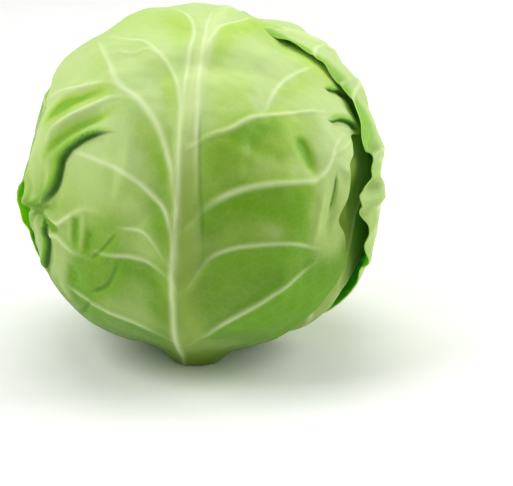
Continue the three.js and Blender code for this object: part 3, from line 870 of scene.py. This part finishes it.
# %% [markdown]
# ## The six leaves
# The three inner leaves show only between the wrappers, so they are made a little coarser.

# %% Leaves
for number in range(3):
    make_leaf(number, 120, 100, ruled_veins(LEAVES[number]), seed=10 + number)
make_leaf(
    3, 190, 170, ruled_veins(LEAVES[3]), swells=[(4.5, 8, [(-26, 59), (-13, 59), (1, 59)]),
    (-3.4, 6, [(14, 57), (7, 59), (0, 60)])], ruffle=0.0, bloom_and_painted_light=0.3, seed=20,
)
make_leaf(
    4, 250, 190, FRONT_VEINS, FRONT_PLEATS, FRONT_SWELLS, [FRONT_GATHER],
    nudges=[(-1, 10, 6, 1.2), (-1, -1, 6, -1.4), (-1, -20, 11, -6.5), (1, 10, 20, -6)], patches=FRONT_WAX_AND_LIGHT_PATCHES, ruffle=0.25,
    puffed=1.0, wax_left_shade_right=0.25, green_margin=(200, 300), seed=30,
)
# The right leaf is seen at a grazing angle: its extra wax and its pale patches are partly painted sheen.
make_leaf(
    5, 220, 190, ruled_veins(LEAVES[5]), nudges=[(-1, 31, 6, 8), (-1, 22, 3, -3), (-1, 12, 7, 4)],
    patches=[(0.4, 16, 60, -2), (0.4, 16, 35, -22), (0.4, 16, 10, -42)], pressed=1.0, ruffle=0.8, bloom_and_painted_light=0.8,
    green_margin=(8, 30), seed=40,
)

# %% [markdown]
# ## Heart and stem
# The heart is made of leaves packed so tightly that only their margins show, as low steps round the ball.
# The stem is woody: its cut face is pale, with a ring of strands near the rind, and browns where it dries.

# %% Heart
heart_finish = leaf_material(
    "heart_leaf", linear(196, 214, 140), linear(216, 228, 168), linear(226, 234, 190),
    linear(200, 218, 140), linear(150, 176, 80), 0.2, 0.38,
)
bpy.ops.object.select_all(action="DESELECT")
bpy.ops.mesh.primitive_uv_sphere_add(segments=144, ring_count=96, radius=1)
heart = bpy.context.object
heart.name = heart.data.name = "fine_heart"
sphere = np.empty(len(heart.data.vertices) * 3)
heart.data.vertices.foreach_get("co", sphere)
way_out = sphere.reshape(-1, 3)
way_out = way_out / np.linalg.norm(way_out, axis=1)[:, None]
step_up = np.zeros(len(way_out))
for k in range(HEART_LEAVES):
    turn = math.radians(35 + GOLDEN_ANGLE * k)
    past = way_out @ [math.cos(turn), math.sin(turn), 0.35 * math.sin(2.1 * k)]
    step_up = np.maximum(step_up, (0.4 + 0.25 * k) * rise(past, 0.18, 0.22))
ball = way_out * (heart_radius(way_out) - HEART_SUNK + step_up + 0.15 * ripple(way_out, 16, 5))[:, None]
ball[:, 2] += CENTRE_HEIGHT
heart.data.vertices.foreach_set("co", (ball * MM).ravel())
for attribute in ("vein", "vein_line", "midrib", "edge", "fold", "fold_line", "bloom_and_painted_light"):
    put_attribute(heart, attribute, np.zeros(len(ball)))
put_attribute(heart, "height_up", (way_out[:, 2] + 1) / 2)
heart.data.materials.append(heart_finish)
bpy.ops.object.shade_smooth()
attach(heart, "root")
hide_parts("heart")
print("heart", len(heart.data.polygons), "faces")

# %% Stem
stem_shader = Shader("cut_stem")
spot = stem_shader.coordinates()
flat = stem_shader.node("ShaderNodeVectorMath", {"operation": "MULTIPLY"}, i0=spot)
flat.inputs[1].default_value = (1, 1, 0)
outwards = stem_shader.node("ShaderNodeVectorMath", {"operation": "LENGTH"}, i0=Value(stem_shader, flat.outputs[0]))
from_axis = Value(stem_shader, outwards.outputs["Value"])
strands = stem_shader.noise(spot, 700.0, 3.0, 0.6)
ring = stem_shader.span(from_axis, 0.0105, 0.0125) * (1.0 - stem_shader.span(from_axis, 0.0135, 0.0150))
dried = stem_shader.span(from_axis + stem_shader.noise(spot, 160.0) * 0.002, 0.0150, 0.0180)
pith = stem_shader.mix(strands, linear(226, 224, 186), linear(206, 206, 158))
with_ring = stem_shader.mix(ring * 0.6, pith, linear(176, 186, 120))
stem_colour = stem_shader.mix(dried * 0.6, with_ring, linear(166, 150, 100))
stem_bump = stem_shader.node("ShaderNodeBump", Strength=0.5, Distance=0.0006, Height=strands + ring * 0.5)
stem_finish = stem_shader.finish(
    Base_Color=stem_colour, Roughness=0.55 + strands * 0.2, Normal=Value(stem_shader, stem_bump.outputs["Normal"]),
    Subsurface_Weight=0.1, Subsurface_Scale=0.003,
)
STEM_RINGS = [
    (STEM_RADIUS, 18), (STEM_RADIUS * 0.92, 36), (STEM_RADIUS * 0.72, 56), (7, CORE_HEIGHT - 5), (3.5, CORE_HEIGHT)
]
bpy.ops.object.select_all(action="DESELECT")
bpy.ops.mesh.primitive_circle_add(vertices=96, radius=STEM_RADIUS * MM, fill_type="NGON", location=(0, 0, 0))
stem = bpy.context.object
stem.name = stem.data.name = "fine_stem"
bpy.ops.object.mode_set(mode="EDIT")
bpy.ops.mesh.select_all(action="SELECT")
radius, height = STEM_RADIUS, 0
for next_radius, next_height in STEM_RINGS:
    lift = (next_height - height) * MM
    bpy.ops.mesh.extrude_region_move(TRANSFORM_OT_translate={"value": (0, 0, lift)})
    shrink = next_radius / radius
    bpy.ops.transform.resize(value=(shrink, shrink, 1), center_override=(0, 0, next_height * MM))
    radius, height = next_radius, next_height
bpy.ops.mesh.select_all(action="SELECT")
bpy.ops.mesh.normals_make_consistent(inside=False)
bpy.ops.object.mode_set(mode="OBJECT")
modify(stem, "BEVEL", width=0.0012, segments=3, angle_limit=math.radians(40))
bpy.ops.object.shade_smooth_by_angle(angle=math.radians(50))
stem.data.materials.append(stem_finish)
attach(stem, "root")
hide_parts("stem")
print("stem", len(stem.data.polygons), "faces")
